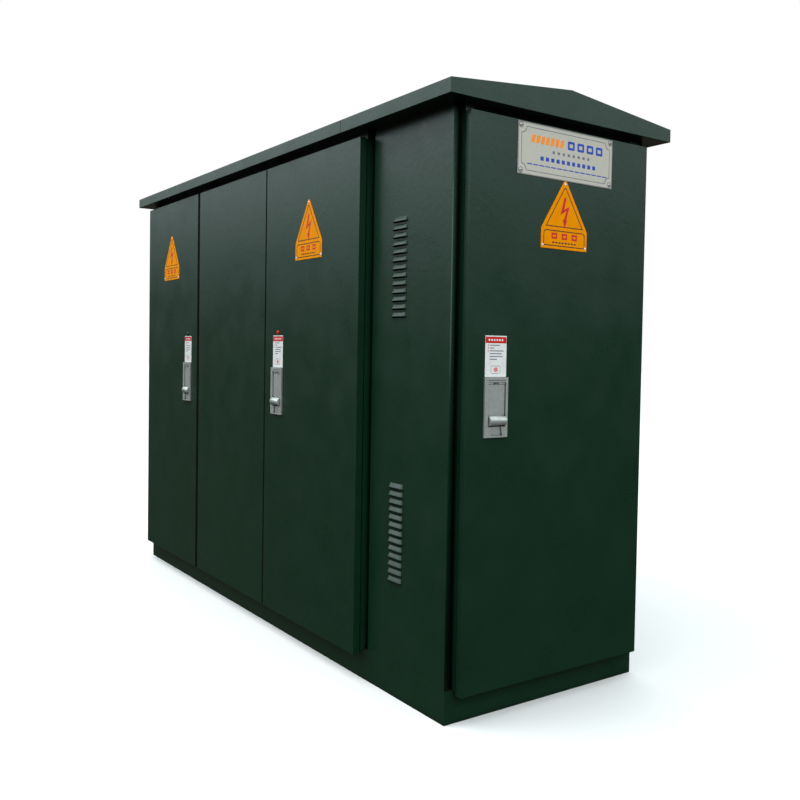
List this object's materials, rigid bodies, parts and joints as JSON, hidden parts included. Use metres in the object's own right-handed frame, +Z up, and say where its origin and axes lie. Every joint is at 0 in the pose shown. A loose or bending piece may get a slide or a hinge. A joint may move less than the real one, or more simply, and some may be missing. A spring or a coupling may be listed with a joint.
{
  "type": "pad-mounted transformer",
  "caption": "Long steel outdoor enclosure with a shallow gabled roof, three compartments behind hinged doors, and a transformer, high-voltage switch and low-voltage breakers inside.",
  "frame": {"origin": "centre of the base frame on the ground", "axes": "+X along the long side towards the low-voltage end door, -Y out of the long front with its three doors, +Z up"},
  "size_m": [3.24, 1.131, 2.309],
  "materials": {
    "green_powder_coat": "fine orange-peel powder coat",
    "zinc_plated_steel": "zinc plated",
    "grey_cast_alloy": "satin grey coat on zinc casting",
    "yellow_sign_enamel": "semi-gloss enamel",
    "nameplate_aluminium": "satin",
    "door_seal_foam": "matt closed-cell foam",
    "tank_grey_paint": "satin",
    "core_and_coil_varnish": "varnished laminations and copper windings",
    "bushing_porcelain": "glazed",
    "red_epoxy": "cast epoxy",
    "busbar_copper": "bare copper bar",
    "breaker_housing": "moulded",
    "toggle_plastic": "moulded"
  },
  "bodies": {
    "enclosure": {"base_frame": "green_powder_coat", "floor_plates": "zinc_plated_steel", "body_frame": "green_powder_coat", "lv_side_panels": "green_powder_coat", "rear_panels": "green_powder_coat", "left_end_panel": "green_powder_coat", "partitions": "zinc_plated_steel", "panel_bolts": "zinc_plated_steel", "roof_left": "green_powder_coat", "roof_right": "green_powder_coat", "door_seals": "door_seal_foam", "hinge_arms": "zinc_plated_steel", "tx_tank": "tank_grey_paint", "tx_cover": "tank_grey_paint", "tx_core_and_coils": "core_and_coil_varnish", "tx_hv_bushings": "bushing_porcelain", "tx_lv_bushings": "bushing_porcelain", "hv_switch_cubicle": "tank_grey_paint", "hv_cable_bushings": "red_epoxy", "lv_mounting_plate": "zinc_plated_steel", "lv_busbars": "busbar_copper", "lv_main_breaker": "breaker_housing", "lv_feeder_breakers": "breaker_housing"},
    "hv_door": {"hv_door_leaf": "green_powder_coat", "hv_door_stiffeners": "green_powder_coat", "hv_door_hinge_pins": "zinc_plated_steel", "hv_door_sign": "yellow_sign_enamel", "hv_handle_case": "grey_cast_alloy"},
    "tx_door": {"tx_door_leaf": "green_powder_coat", "tx_door_stiffeners": "green_powder_coat", "tx_door_hinge_pins": "zinc_plated_steel", "tx_door_sign": "yellow_sign_enamel", "tx_handle_case": "grey_cast_alloy"},
    "lv_door": {"lv_door_leaf": "green_powder_coat", "lv_door_stiffeners": "green_powder_coat", "lv_door_hinge_pins": "zinc_plated_steel", "lv_door_sign": "yellow_sign_enamel", "lv_handle_case": "grey_cast_alloy", "lv_door_nameplate": "nameplate_aluminium"},
    "passive_door": {"passive_door_leaf": "green_powder_coat", "passive_door_stiffeners": "green_powder_coat", "passive_door_hinge_pins": "zinc_plated_steel"},
    "hv_lever": {"hv_handle_lever": "grey_cast_alloy"},
    "hv_cam": {"hv_lock_cam": "zinc_plated_steel"},
    "hv_upper_rod": {"hv_upper_rod": "zinc_plated_steel"},
    "hv_lower_rod": {"hv_lower_rod": "zinc_plated_steel"},
    "tx_lever": {"tx_handle_lever": "grey_cast_alloy"},
    "tx_cam": {"tx_lock_cam": "zinc_plated_steel"},
    "tx_upper_rod": {"tx_upper_rod": "zinc_plated_steel"},
    "tx_lower_rod": {"tx_lower_rod": "zinc_plated_steel"},
    "lv_lever": {"lv_handle_lever": "grey_cast_alloy"},
    "lv_cam": {"lv_lock_cam": "zinc_plated_steel"},
    "lv_upper_rod": {"lv_upper_rod": "zinc_plated_steel"},
    "lv_lower_rod": {"lv_lower_rod": "zinc_plated_steel"},
    "passive_top_bolt": {"passive_top_bolt": "zinc_plated_steel"},
    "passive_bottom_bolt": {"passive_bottom_bolt": "zinc_plated_steel"},
    "hv_switch_lever": {"hv_switch_lever": "red_epoxy"},
    "lv_main_toggle": {"lv_main_toggle": "toggle_plastic"},
    "lv_feeder_toggle_1": {"lv_feeder_toggle_1": "toggle_plastic"},
    "lv_feeder_toggle_2": {"lv_feeder_toggle_2": "toggle_plastic"}
  },
  "joints": [
    {"name": "hv_door_hinge", "type": "hinge", "parent": "enclosure", "child": "hv_door", "pos_m": [-1.478, -0.526, 1.14], "axis": [0, 0, -1], "range_deg": [0, 110]},
    {"name": "tx_door_hinge", "type": "hinge", "parent": "enclosure", "child": "tx_door", "pos_m": [0.991, -0.526, 1.14], "axis": [0, 0, 1], "range_deg": [0, 110]},
    {"name": "lv_door_hinge", "type": "hinge", "parent": "enclosure", "child": "lv_door", "pos_m": [1.579, 0.443, 1.14], "axis": [0, 0, 1], "range_deg": [0, 110]},
    {"name": "passive_door_hinge", "type": "hinge", "parent": "enclosure", "child": "passive_door", "pos_m": [-0.651, -0.526, 1.14], "axis": [0, 0, -1], "range_deg": [0, 110]},
    {"name": "hv_lever_hinge", "type": "hinge", "parent": "hv_door", "child": "hv_lever", "pos_m": [-0.824, -0.541, 1.22], "axis": [-1, 0, 0], "range_deg": [0, 50]},
    {"name": "hv_cam_hinge", "type": "hinge", "parent": "hv_door", "child": "hv_cam", "pos_m": [-0.824, -0.541, 1.22], "axis": [0, -1, 0], "range_deg": [0, 50]},
    {"name": "hv_upper_rod_slide", "type": "slide", "parent": "hv_door", "child": "hv_upper_rod", "axis": [0, 0, -1], "range_m": [0, 0.0169]},
    {"name": "hv_lower_rod_slide", "type": "slide", "parent": "hv_door", "child": "hv_lower_rod", "axis": [0, 0, 1], "range_m": [0, 0.0169]},
    {"name": "tx_lever_hinge", "type": "hinge", "parent": "tx_door", "child": "tx_lever", "pos_m": [0.303, -0.541, 1.22], "axis": [-1, 0, 0], "range_deg": [0, 50]},
    {"name": "tx_cam_hinge", "type": "hinge", "parent": "tx_door", "child": "tx_cam", "pos_m": [0.303, -0.541, 1.22], "axis": [0, -1, 0], "range_deg": [0, 50]},
    {"name": "tx_upper_rod_slide", "type": "slide", "parent": "tx_door", "child": "tx_upper_rod", "axis": [0, 0, -1], "range_m": [0, 0.0169]},
    {"name": "tx_lower_rod_slide", "type": "slide", "parent": "tx_door", "child": "tx_lower_rod", "axis": [0, 0, 1], "range_m": [0, 0.0169]},
    {"name": "lv_lever_hinge", "type": "hinge", "parent": "lv_door", "child": "lv_lever", "pos_m": [1.594, -0.324, 1.22], "axis": [0, -1, 0], "range_deg": [0, 50]},
    {"name": "lv_cam_hinge", "type": "hinge", "parent": "lv_door", "child": "lv_cam", "pos_m": [1.594, -0.324, 1.22], "axis": [1, 0, 0], "range_deg": [0, 50]},
    {"name": "lv_upper_rod_slide", "type": "slide", "parent": "lv_door", "child": "lv_upper_rod", "axis": [0, 0, -1], "range_m": [0, 0.0169]},
    {"name": "lv_lower_rod_slide", "type": "slide", "parent": "lv_door", "child": "lv_lower_rod", "axis": [0, 0, 1], "range_m": [0, 0.0169]},
    {"name": "passive_top_bolt_slide", "type": "slide", "parent": "passive_door", "child": "passive_top_bolt", "axis": [0, 0, -1], "range_m": [0, 0.025]},
    {"name": "passive_bottom_bolt_slide", "type": "slide", "parent": "passive_door", "child": "passive_bottom_bolt", "axis": [0, 0, 1], "range_m": [0, 0.025]},
    {"name": "hv_switch_lever_hinge", "type": "hinge", "parent": "enclosure", "child": "hv_switch_lever", "pos_m": [-1.09, -0.29, 1.4], "axis": [0, -1, 0], "range_deg": [0, 90]},
    {"name": "lv_main_toggle_hinge", "type": "hinge", "parent": "enclosure", "child": "lv_main_toggle", "pos_m": [1.263, 0, 1.5], "axis": [0, -1, 0], "range_deg": [0, 40]},
    {"name": "lv_feeder_toggle_1_hinge", "type": "hinge", "parent": "enclosure", "child": "lv_feeder_toggle_1", "pos_m": [1.2375, -0.16, 0.97], "axis": [0, -1, 0], "range_deg": [0, 40]},
    {"name": "lv_feeder_toggle_2_hinge", "type": "hinge", "parent": "enclosure", "child": "lv_feeder_toggle_2", "pos_m": [1.2375, 0.16, 0.97], "axis": [0, -1, 0], "range_deg": [0, 40]}
  ],
  "couplings": [
    {"joint": "hv_cam_hinge", "follows": "hv_lever_hinge", "ratio": 1},
    {"joint": "hv_upper_rod_slide", "follows": "hv_lever_hinge", "m_per_rad": 0.019309},
    {"joint": "hv_lower_rod_slide", "follows": "hv_lever_hinge", "m_per_rad": 0.019309},
    {"joint": "tx_cam_hinge", "follows": "tx_lever_hinge", "ratio": 1},
    {"joint": "tx_upper_rod_slide", "follows": "tx_lever_hinge", "m_per_rad": 0.019309},
    {"joint": "tx_lower_rod_slide", "follows": "tx_lever_hinge", "m_per_rad": 0.019309},
    {"joint": "lv_cam_hinge", "follows": "lv_lever_hinge", "ratio": 1},
    {"joint": "lv_upper_rod_slide", "follows": "lv_lever_hinge", "m_per_rad": 0.019309},
    {"joint": "lv_lower_rod_slide", "follows": "lv_lever_hinge", "m_per_rad": 0.019309}
  ]
}
